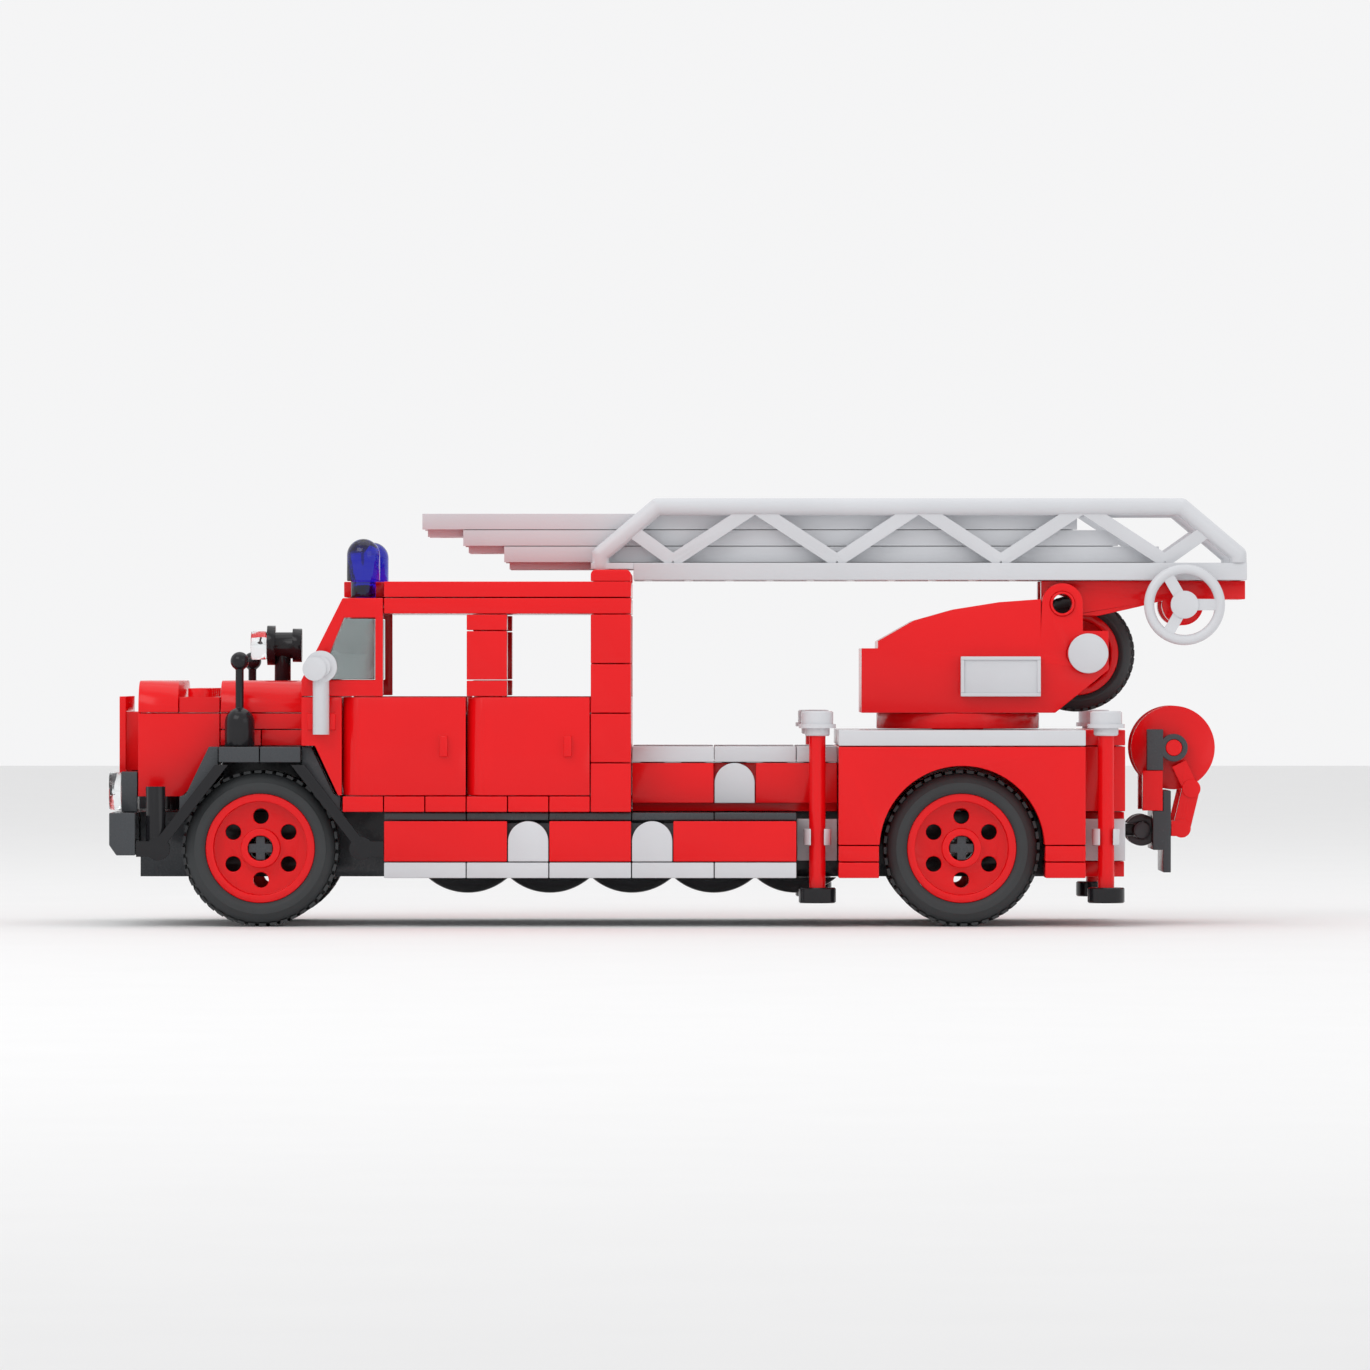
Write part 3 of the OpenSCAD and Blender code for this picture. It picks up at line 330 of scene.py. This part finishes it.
def lathe(name, centre, axis_turn, profile, steps=96):
    """A closed ring swept round an axis through centre from (radius, offset) points"""
    mesh = bpy.data.meshes.new(name)
    shape = bmesh.new()
    rings = []
    for i in range(steps):
        turn = Matrix.Rotation(2 * math.pi * i / steps, 4, "Z")
        rings.append([shape.verts.new(turn @ Vector((r, 0, h))) for r, h in profile])
    count = len(profile)
    for i in range(steps):
        here, there = rings[i], rings[(i + 1) % steps]
        for k in range(count):
            shape.faces.new((here[k], there[k], there[(k + 1) % count], here[(k + 1) % count]))
    bmesh.ops.recalc_face_normals(shape, faces=shape.faces)
    for face in shape.faces:
        face.smooth = True
    shape.transform(Matrix.Translation(centre) @ axis_turn)
    shape.to_mesh(mesh)
    shape.free()
    mesh.set_sharp_from_angle(angle=SMOOTH_ANGLE)
    return mesh


ACROSS = Matrix.Rotation(-math.pi / 2, 4, "X")


def box_mesh(shape, low, high):
    """Add a box between two corners to a bmesh"""
    size = high - low
    place = Matrix.Translation((low + high) / 2) @ Matrix.Diagonal((*size, 1))
    bmesh.ops.create_cube(shape, size=1, matrix=place)


# ---- Geometry Nodes ----
class Net:
    """A Geometry Nodes tree with named inputs and one method that adds nodes"""

    def __init__(self, name, inputs):
        self.tree = bpy.data.node_groups.new(name, "GeometryNodeTree")
        self.sockets = {}
        for label, kind, value in inputs:
            socket = self.tree.interface.new_socket(label, in_out="INPUT", socket_type=kind)
            socket.default_value = value
            self.sockets[label] = socket.identifier
        self.tree.interface.new_socket("Geometry", in_out="OUTPUT", socket_type="NodeSocketGeometry")
        self.entry = self.tree.nodes.new("NodeGroupInput")
        self.exit = self.tree.nodes.new("NodeGroupOutput")

    def read(self, label):
        return self.entry.outputs[label]

    def node(self, kind, settings=None, inputs=None, out=0):
        made = self.tree.nodes.new(kind)
        for key, value in (settings or {}).items():
            setattr(made, key, value)
        for key, value in (inputs or {}).items():
            if isinstance(value, bpy.types.NodeSocket):
                self.tree.links.new(value, made.inputs[key])
            else:
                made.inputs[key].default_value = value
        return made.outputs[out]

    def close(self, geometry, material):
        real = self.node("GeometryNodeRealizeInstances", inputs={0: geometry})
        painted = self.node("GeometryNodeSetMaterial", inputs={"Geometry": real, "Material": material})
        self.tree.links.new(painted, self.exit.inputs[0])

    def grow(self, name, values):
        """Run the tree once on an empty mesh and return the plain mesh that it makes"""
        obj = new_object(name, bpy.data.meshes.new(name))
        modifier = obj.modifiers.new("grow", "NODES")
        modifier.node_group = self.tree
        for label, value in values.items():
            modifier[self.sockets[label]] = value
        bake(obj)
        mesh = obj.data
        bpy.data.objects.remove(obj)
        return mesh


def lug_ring_tree():
    """Tread blocks set round a circle in the X-Y plane"""
    net = Net("lug_ring", [
        ("Count", "NodeSocketInt", 44), ("Radius", "NodeSocketFloat", 0.015),
        ("Size", "NodeSocketVector", (0.001, 0.001, 0.001)), ("Height", "NodeSocketFloat", 0.0),
        ("Start", "NodeSocketFloat", 0.0), ("Skew", "NodeSocketFloat", 0.0)])
    circle = net.node(
        "GeometryNodeMeshCircle", inputs={"Vertices": net.read("Count"), "Radius": net.read("Radius")})
    block = net.node("GeometryNodeMeshCube", inputs={"Size": net.read("Size")})
    index = net.node("GeometryNodeInputIndex")
    step = net.node("ShaderNodeMath", {"operation": "DIVIDE"}, {0: 2 * math.pi, 1: net.read("Count")})
    turn = net.node("ShaderNodeMath", {"operation": "MULTIPLY"}, {0: index, 1: step})
    angle = net.node("ShaderNodeCombineXYZ", inputs={"X": net.read("Skew"), "Z": turn})
    ring = net.node(
        "GeometryNodeInstanceOnPoints", inputs={"Points": circle, "Instance": block, "Rotation": angle})
    lift = net.node("ShaderNodeCombineXYZ", inputs={"Z": net.read("Height")})
    spin = net.node("ShaderNodeCombineXYZ", inputs={"Z": net.read("Start")})
    placed = net.node(
        "GeometryNodeTransform", inputs={"Geometry": ring, "Translation": lift, "Rotation": spin})
    net.close(placed, finish_of("rubber"))
    return net


def stud_grid_tree(colour):
    """Round studs on the building grid, standing on a rectangle"""
    net = Net("stud_grid_" + colour, [
        ("Along", "NodeSocketInt", 2), ("Across", "NodeSocketInt", 2),
        ("Length", "NodeSocketFloat", STUD), ("Width", "NodeSocketFloat", STUD),
        ("Centre", "NodeSocketVector", (0.0, 0.0, 0.0))])
    grid = net.node("GeometryNodeMeshGrid", inputs={
        "Size X": net.read("Length"), "Size Y": net.read("Width"),
        "Vertices X": net.read("Along"), "Vertices Y": net.read("Across")})
    body = net.node("GeometryNodeMeshCylinder", inputs={
        "Vertices": 32, "Radius": STUD_RADIUS, "Depth": STUD_HEIGHT})
    crown = net.node("GeometryNodeMeshCylinder", inputs={
        "Vertices": 32, "Radius": CROWN_RADIUS, "Depth": CROWN_HEIGHT})
    stud = net.node("GeometryNodeJoinGeometry")
    join = stud.node
    net.tree.links.new(body, join.inputs[0])
    net.tree.links.new(crown, join.inputs[0])
    set_out = net.node("GeometryNodeInstanceOnPoints", inputs={"Points": grid, "Instance": stud})
    placed = net.node(
        "GeometryNodeTransform", inputs={"Geometry": set_out, "Translation": net.read("Centre")})
    net.close(placed, finish_of(colour))
    return net


def join_meshes(name, parts, placings):
    """One mesh from several, each moved to its place"""
    shape = bmesh.new()
    for part, placing in zip(parts, placings):
        moved = part.copy()
        moved.transform(placing)
        shape.from_mesh(moved)
        bpy.data.meshes.remove(moved)
    mesh = bpy.data.meshes.new(name)
    bmesh.ops.recalc_face_normals(shape, faces=shape.faces)
    shape.to_mesh(mesh)
    shape.free()
    return mesh


# ---- Tyres, tread and axles ----
def tyre_profile(outer, inner, width, lug):
    """Section of a tyre: bead, bulged sidewall with a raised ring, shoulder and base of the tread"""
    base = outer - lug
    half = width / 2
    wall = [
        (inner, half - 0.7 * MM), (inner + 0.5 * MM, half - 0.15 * MM),
        (inner + 1.1 * MM, half), (base - 1.9 * MM, half),
        (base - 1.6 * MM, half - 0.25 * MM), (base - 1.1 * MM, half - 0.45 * MM),
        (base - 0.35 * MM, half - 1.2 * MM), (base, half - 2.1 * MM),
    ]
    return wall + [(r, -h) for r, h in reversed(wall)]


LUG_SKEW = 0.18  # Tilt of a tread block, opposite in neighbouring rows
LUG_SINK = 0.08 * MM


def build_tyres(node, bore, rows_per_tyre):
    """The rubber of every tyre in a node, with two or more staggered rows of tread blocks"""
    wheel = bpy.context.scene.fire_wheel
    low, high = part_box(node)
    outer = (high.z - low.z) / 2
    centre_x, centre_z = (low.x + high.x) / 2, (low.z + high.z) / 2
    pair = rows_per_tyre == 2
    width = TYRE_WIDTH if pair else high.y - low.y
    sides = [low.y + width / 2, high.y - width / 2] if pair else [0.0]
    tree = lug_ring_tree()
    row = width / rows_per_tyre - 1.2 * MM
    pitch = 2 * math.pi * outer / wheel.lugs
    carcasses, lugs, places = [], [], []
    for y in sides:
        profile = tyre_profile(outer, bore, width, wheel.lug_height)
        carcasses.append(lathe("carcass", (centre_x, y, centre_z), ACROSS, profile))
        for k in range(rows_per_tyre):
            offset = (k - (rows_per_tyre - 1) / 2) * row
            lugs.append(tree.grow("lugs", {
                "Count": wheel.lugs, "Radius": outer - wheel.lug_height / 2 - LUG_SINK,
                "Size": (wheel.lug_height, pitch * 0.62, row * 0.96), "Height": offset,
                "Start": math.pi / wheel.lugs * (k % 2), "Skew": LUG_SKEW if k % 2 else -LUG_SKEW}))
            places.append(Matrix.Translation((centre_x, y, centre_z)) @ ACROSS)
    body = new_object("carcass_" + node, join_meshes(node, carcasses, [Matrix()] * len(carcasses)))
    body.data.set_sharp_from_angle(angle=SMOOTH_ANGLE)
    settle(body, node, "rubber", node)
    tread = new_object("tread_" + node, join_meshes("tread", lugs, places))
    settle(tread, node, "rubber")


class FIRE_OT_tyres(bpy.types.Operator):
    """Build the road tyres and the ribbed drum behind the turret"""

    bl_idname = "fire.tyres"
    bl_label = "Tyres"

    def execute(self, context):
        build_tyres("front_tyres", TYRE_BORE, 2)
        build_tyres("rear_tyres", TYRE_BORE, 2)
        build_tyres("drum_tyre", DRUM_BORE, 3)
        return {"FINISHED"}


def cross_axle(node):
    """A cross-shaped axle inside the round outline of the CAD axle"""
    low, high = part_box(node)
    centre = (low + high) / 2
    fin = bpy.context.scene.fire_wheel.fin / 2
    radius = (high.z - low.z) / 2 - 0.05 * MM
    shape = bmesh.new()
    outline = []
    for quarter in range(4):
        turn = Matrix.Rotation(quarter * math.pi / 2, 2)
        outline += [turn @ Vector(p) for p in ((radius, -fin), (radius, fin), (fin, fin))]
    ends = []
    for y in (low.y, high.y):
        ends.append([shape.verts.new((centre.x + p.x, y, centre.z + p.y)) for p in outline])
    near, far = ends
    count = len(outline)
    for i in range(count):
        shape.faces.new((near[i], near[(i + 1) % count], far[(i + 1) % count], far[i]))
    shape.faces.new(near)
    shape.faces.new(far)
    bmesh.ops.recalc_face_normals(shape, faces=shape.faces)
    for face in shape.faces:
        face.smooth = True
    mesh = bpy.data.meshes.new(node)
    shape.to_mesh(mesh)
    shape.free()
    axle = new_object("cross_" + node, mesh)
    round_edges(axle, 0.2 * MM)
    settle(axle, node, "dark", node)


class FIRE_OT_axles(bpy.types.Operator):
    """Build the cross axles that show in the wheel hubs"""

    bl_idname = "fire.axles"
    bl_label = "Cross axles"

    def execute(self, context):
        cross_axle("front_axle")
        cross_axle("rear_axle")
        return {"FINISHED"}


# ---- Moulded pieces ----
class FIRE_OT_red_pieces(bpy.types.Operator):
    """Build the red bricks, doors, cab, bonnet, turret and rims"""

    bl_idname = "fire.red_pieces"
    bl_label = "Red pieces"

    def execute(self, context):
        for node in RED_NODES:
            finish_node(node, "red")
        return {"FINISHED"}


class FIRE_OT_grey_pieces(bpy.types.Operator):
    """Build the light grey tiles, ladder and mirrors"""

    bl_idname = "fire.grey_pieces"
    bl_label = "Light grey pieces"

    def execute(self, context):
        for node in GREY_NODES:
            finish_node(node, "light")
        return {"FINISHED"}


class FIRE_OT_dark_pieces(bpy.types.Operator):
    """Build the dark grey and black chassis, wings, seats and levers"""

    bl_idname = "fire.dark_pieces"
    bl_label = "Dark pieces"

    def execute(self, context):
        for node in DARK_NODES:
            finish_node(node, "dark")
        for node in BLACK_NODES:
            finish_node(node, "black")
        return {"FINISHED"}


class FIRE_OT_clear_pieces(bpy.types.Operator):
    """Build the windscreen, lamp lenses and blue beacons"""

    bl_idname = "fire.clear_pieces"
    bl_label = "Clear pieces"

    def execute(self, context):
        finish_node("windscreen_glass", "tinted", 0.08 * MM)
        finish_node("lamp_lenses", "clear", 0.3 * MM)
        finish_node("beacons", "blue")
        return {"FINISHED"}


CENTRE_HOLE = 0.02 * MM  # Keeps the swept rings closed round the axis
LEG_BAR_RADIUS = 1.6 * MM
LEG_FOOT_HEIGHT = 3 * MM
LEG_CAP_HEIGHT = 4.8 * MM
LEG_EDGE = 0.25 * MM


def leg_profiles(low, high, radius):
    """Colour and section of a leg's foot, bar and cap"""
    foot, cap = low + LEG_FOOT_HEIGHT, high - LEG_CAP_HEIGHT
    sole, edge = radius - 1.2 * MM, LEG_EDGE
    neck, lip = 2.4 * MM, radius - 0.5 * MM
    flange, rim = cap + 1.5 * MM, cap + 2.3 * MM
    socket, socket_floor = 1.7 * MM, high - 0.8 * MM
    return {
        "foot": ("black", [
            (CENTRE_HOLE, low + 0.5 * MM), (sole, low + 0.5 * MM), (sole, low),
            (radius - edge, low), (radius, low + edge), (radius, foot - edge),
            (radius - edge, foot), (CENTRE_HOLE, foot)]),
        "bar": ("red", [
            (CENTRE_HOLE, foot), (LEG_BAR_RADIUS, foot), (LEG_BAR_RADIUS, cap), (CENTRE_HOLE, cap)]),
        "cap": ("light", [
            (CENTRE_HOLE, cap), (neck - edge, cap), (neck, cap + edge), (neck, flange),
            (radius, flange), (radius, rim), (lip, rim),
            (lip, high - edge), (lip - edge, high), (socket, high),
            (socket, socket_floor), (CENTRE_HOLE, socket_floor)]),
    }


class FIRE_OT_legs(bpy.types.Operator):
    """Build the stabiliser legs: black foot, red bar and light grey cap"""

    bl_idname = "fire.legs"
    bl_label = "Stabiliser legs"

    def execute(self, context):
        for node in LEGS:
            low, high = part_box(node)
            centre = ((low.x + high.x) / 2, (low.y + high.y) / 2, 0)
            profiles = leg_profiles(low.z, high.z, (high.x - low.x) / 2)
            for part, (colour, profile) in profiles.items():
                mesh = lathe(part, centre, Matrix(), profile, 48)
                piece = new_object(f"{node}_{part}", mesh)
                settle(piece, node, colour, *([node] if part == "bar" else []))
        return {"FINISHED"}


PANEL_FACE = 18.2 * MM
PANEL_X = (0.1 * MM, 15.7 * MM)
PANEL_Z = (3.2 * MM, 11 * MM)
PANEL_RIM = 0.7 * MM
PANEL_PROUD = 0.35 * MM
PANEL_SINK = 0.05 * MM


class FIRE_OT_control_panels(bpy.types.Operator):
    """Build the grey turret tiles and the framed grey panels on the turret's sides"""

    bl_idname = "fire.control_panels"
    bl_label = "Control panels"

    def execute(self, context):
        node = "turret_tiles"
        finish_node(node, "light")
        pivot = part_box("turntable")
        mid = (pivot[0].x + pivot[1].x) / 2
        base = pivot[1].z + 0.1 * MM
        left, right = (mid + x for x in PANEL_X)
        bottom, top = (base + z for z in PANEL_Z)
        rim = PANEL_RIM
        shape = bmesh.new()
        bars = [
            (left, right, bottom, bottom + rim), (left, right, top - rim, top),
            (left, left + rim, bottom + rim, top - rim), (right - rim, right, bottom + rim, top - rim)]
        for side in (-1, 1):
            for x0, x1, z0, z1 in bars:
                y0, y1 = sorted((side * (PANEL_FACE - PANEL_SINK), side * (PANEL_FACE + PANEL_PROUD)))
                box_mesh(shape, Vector((x0, y0, z0)), Vector((x1, y1, z1)))
        mesh = bpy.data.meshes.new("panel_frames")
        shape.to_mesh(mesh)
        shape.free()
        frames = new_object("panel_frames", mesh)
        round_edges(frames, 0.12 * MM)
        settle(frames, node, "light")
        return {"FINISHED"}


STUD_ROWS = 4


class FIRE_OT_studs(bpy.types.Operator):
    """Set the studs of the hose bed between cab and rear box"""

    bl_idname = "fire.studs"
    bl_label = "Hose bed studs"

    def execute(self, context):
        low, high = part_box("cab_walls")
        deck_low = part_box("rear_box")[0]
        start = high.x + 0.1 * MM
        cells = round((deck_low.x - start) / STUD)
        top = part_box("chassis")[1].z
        mesh = stud_grid_tree("dark").grow("studs", {
            "Along": cells, "Across": STUD_ROWS,
            "Length": (cells - 1) * STUD, "Width": (STUD_ROWS - 1) * STUD,
            "Centre": (start + cells * STUD / 2, 0.0, top + STUD_HEIGHT / 2)})
        for polygon in mesh.polygons:
            polygon.use_smooth = True
        mesh.set_sharp_from_angle(angle=SMOOTH_ANGLE)
        settle(new_object("hose_bed_studs", mesh), "chassis", "dark")
        return {"FINISHED"}


# ---- Stage ----
VIEW_SPAN = 265.1 * MM
CAMERA_AWAY = 1.9
AIM = Vector((1.2 * MM, 0.0, 46.8 * MM))
FLOOR_HALF = 3.0
SENSOR = 36
LIGHTS = [  # Name, place, target, size and power
    ("key", (-0.5, -0.75, 0.75), (0, 0, 0.04), (0.7, 0.5), 2.2),
    ("fill", (0.7, -0.8, 0.35), (0, 0, 0.04), (0.6, 0.5), 0.5),
    ("top", (0.0, 0.1, 0.9), (0, 0, 0), (0.9, 0.7), 1.2),
]


def area_light(name, place, target, size, power):
    lamp = bpy.data.lights.new(name, "AREA")
    lamp.shape = "RECTANGLE"
    lamp.size, lamp.size_y = size
    lamp.energy = power
    obj = new_object(name, lamp)
    obj.location = place
    obj.rotation_euler = (Vector(target) - Vector(place)).to_track_quat("-Z", "Y").to_euler()
    return obj


class FIRE_OT_stage(bpy.types.Operator):
    """Set the pale floor, the soft lights and the camera"""

    bl_idname = "fire.stage"
    bl_label = "Studio"

    def execute(self, context):
        mesh = bpy.data.meshes.new("floor")
        shape = bmesh.new()
        bmesh.ops.create_grid(shape, x_segments=1, y_segments=1, size=FLOOR_HALF)
        shape.to_mesh(mesh)
        shape.free()
        floor = new_object("floor", mesh)
        floor.data.materials.append(studio_paper("studio_paper"))

        camera_data = bpy.data.cameras.new("camera")
        camera = new_object("camera", camera_data)
        near_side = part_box("side_panels")[0].y
        camera.location = (AIM.x, near_side - CAMERA_AWAY, AIM.z + 0.004)
        camera.rotation_euler = (AIM - camera.location).to_track_quat("-Z", "Y").to_euler()
        camera_data.sensor_width = SENSOR
        camera_data.lens = SENSOR * CAMERA_AWAY / VIEW_SPAN
        camera_data.clip_end = 20
        context.scene.camera = camera

        world = bpy.data.worlds.new("studio")
        world.use_nodes = True
        background = world.node_tree.nodes["Background"]
        background.inputs["Color"].default_value = (0.93, 0.93, 0.935, 1)
        background.inputs["Strength"].default_value = 0.98
        context.scene.world = world
        context.scene.view_settings.view_transform = "Standard"
        for light in LIGHTS:
            area_light(*light)
        return {"FINISHED"}


OPERATORS = [
    FIRE_OT_red_pieces, FIRE_OT_grey_pieces, FIRE_OT_dark_pieces, FIRE_OT_clear_pieces,
    FIRE_OT_legs, FIRE_OT_tyres, FIRE_OT_axles, FIRE_OT_control_panels, FIRE_OT_studs, FIRE_OT_stage,
]


class FIRE_PT_panel(bpy.types.Panel):
    """Lists the pieces of the fire engine"""

    bl_label = "Fire Engine"
    bl_space_type = "VIEW_3D"
    bl_region_type = "UI"
    bl_category = "Fire Engine"

    def draw(self, context):
        column = self.layout.column()
        for settings in (context.scene.fire_plastic, context.scene.fire_wheel):
            for key in settings.bl_rna.properties.keys():
                if key not in ("rna_type", "name"):
                    column.prop(settings, key)
        for operator in OPERATORS:
            column.operator(operator.bl_idname)


CLASSES = [PlasticSettings, WheelSettings, *OPERATORS, FIRE_PT_panel]


def register():
    for cls in CLASSES:
        bpy.utils.register_class(cls)
    bpy.types.Scene.fire_plastic = PointerProperty(type=PlasticSettings)
    bpy.types.Scene.fire_wheel = PointerProperty(type=WheelSettings)


def unregister():
    del bpy.types.Scene.fire_wheel
    del bpy.types.Scene.fire_plastic
    for cls in reversed(CLASSES):
        bpy.utils.unregister_class(cls)


def main():
    register()
    bpy.ops.fire.stage()
    bpy.ops.fire.red_pieces()
    bpy.ops.fire.grey_pieces()
    bpy.ops.fire.dark_pieces()
    bpy.ops.fire.clear_pieces()
    bpy.ops.fire.legs()
    bpy.ops.fire.tyres()
    bpy.ops.fire.axles()
    bpy.ops.fire.control_panels()
    bpy.ops.fire.studs()


if __name__ == "__main__":
    main()
